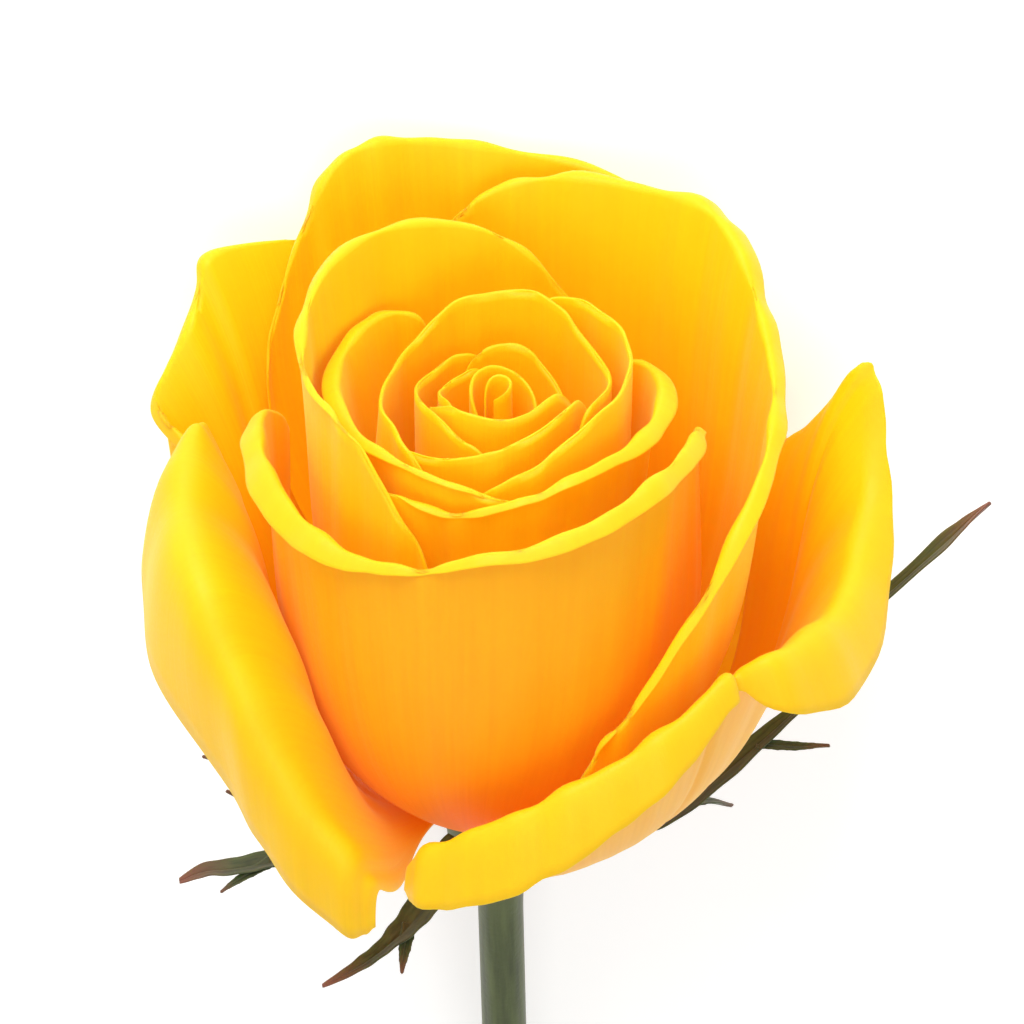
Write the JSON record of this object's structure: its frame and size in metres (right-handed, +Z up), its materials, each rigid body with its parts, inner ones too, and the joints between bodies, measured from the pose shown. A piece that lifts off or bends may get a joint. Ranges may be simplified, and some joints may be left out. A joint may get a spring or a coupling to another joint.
{
  "type": "rose",
  "caption": "Large yellow hybrid tea rose bloom with a tight spiral heart, rolled outer petals, green sepals and a short cut stem, lying on its side.",
  "frame": {"origin": "centre of the bounding box in plan, at the height of the surface it lies on", "axes": "-Y is where the bloom opens and +Y is where the stem runs; +X is the side that is on the right when looking into the bloom; +Z is up, away from the surface"},
  "size_m": [0.0914, 0.1872, 0.062],
  "materials": {
    "petal": "soft matte living petal, warm yellow",
    "petal_heart": "soft matte living petal, deeper yellow",
    "sepal": "dull green leaf surface",
    "pistil": "matte",
    "hip": "smooth waxy green",
    "stem": "smooth waxy green stem"
  },
  "bodies": {
    "root": {"bud_heart": "petal_heart", "bud_wrap": "petal_heart", "whorl_1_left": "petal_heart", "whorl_1_back": "petal_heart", "whorl_1_front": "petal_heart", "whorl_2_left": "petal_heart", "whorl_2_front": "petal_heart", "whorl_3_back": "petal", "whorl_3_right": "petal", "whorl_3_left": "petal", "whorl_4_front": "petal", "collar_left": "petal", "front_guard": "petal", "collar_right": "petal", "crown_back": "petal", "wing_left": "petal", "apron_left": "petal", "apron_right": "petal", "back_guard_right": "petal", "back_guard_left": "petal", "sepal_left": "sepal", "sepal_front": "sepal", "sepal_right": "sepal", "sepal_far_right": "sepal", "sepal_under": "sepal", "pistil": "pistil", "hip": "hip", "stem": "stem"}
  },
  "joints": []
}
